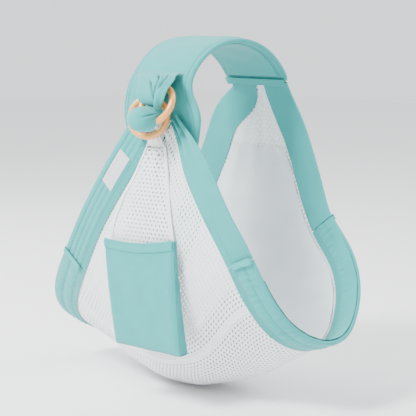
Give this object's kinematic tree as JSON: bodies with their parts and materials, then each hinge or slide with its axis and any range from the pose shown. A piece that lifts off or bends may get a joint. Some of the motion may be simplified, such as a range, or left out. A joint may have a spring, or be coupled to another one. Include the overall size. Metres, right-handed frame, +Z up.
{
  "type": "baby wrap sling",
  "caption": "Padded-shoulder ring sling for carrying a baby: perforated mesh pouch between padded rails, gathered through rings, with a hanging tail and pocket.",
  "frame": {"origin": "crown of the shoulder seat: the highest point of the pad's inner face, where it rests on the wearer's shoulder", "axes": "+X across the sling from the left (quilted) rail to the right rail, -Y towards the ring side, +Z up"},
  "size_m": [0.6543, 0.3869, 0.6514],
  "materials": {
    "cotton": "matte",
    "cotton_lining": "matte",
    "binding": "matte",
    "foam": "matte",
    "mesh": "matte",
    "lining_mesh": "matte",
    "ring_plastic": "satin",
    "label_weave": "matte"
  },
  "bodies": {
    "sling": {"label": "label_weave", "left_back_band": "cotton", "left_back_tab": "cotton", "left_front_tab": "cotton", "left_padded_cover": "cotton", "left_padding": "foam", "left_quilt_padding": "foam", "left_quilted_cover": "cotton", "left_top_hem": "cotton", "pad_back_hem": "binding", "pad_binding": "binding", "pad_cover": "cotton", "pad_foam": "foam", "pad_lining": "cotton_lining", "pouch_gather": "cotton_lining", "pouch_lining": "lining_mesh", "pouch_mesh_back": "mesh", "pouch_mesh_front": "mesh", "pouch_mesh_seat": "mesh", "right_back_band": "cotton", "right_back_tab": "cotton", "right_front_band": "cotton", "right_front_tab": "cotton", "right_inner_facing": "cotton_lining", "right_padded_cover": "cotton", "right_padding": "foam", "ring_loop_back": "cotton_lining", "ring_pleat_panel": "cotton"},
    "rear_ring_set": {"rear_ring": "ring_plastic", "tail_neck": "cotton"},
    "front_ring_set": {"front_ring": "ring_plastic", "tail_fold": "cotton"},
    "tail": {"pocket_base": "cotton_lining", "pocket_front": "cotton", "pocket_gusset_left": "cotton_lining", "pocket_gusset_right": "cotton_lining", "pocket_hem": "cotton", "tail_edge_left": "binding", "tail_edge_right": "binding", "tail_mesh": "mesh"}
  },
  "joints": [
    {"name": "rear_ring_lift", "type": "hinge", "parent": "sling", "child": "rear_ring_set", "pos_m": [0.0163, -0.1619, -0.0922], "axis": [-0.9085, -0.4179, 0], "range_deg": [0, 8]},
    {"name": "front_ring_lift", "type": "hinge", "parent": "rear_ring_set", "child": "front_ring_set", "pos_m": [0.0222, -0.1758, -0.0884], "axis": [-1, 0, 0], "range_deg": [0, 6]},
    {"name": "tail_swing", "type": "hinge", "parent": "rear_ring_set", "child": "tail", "pos_m": [0.0305, -0.1625, -0.1746], "axis": [-0.9945, -0.1045, 0], "range_deg": [0, 60]}
  ]
}
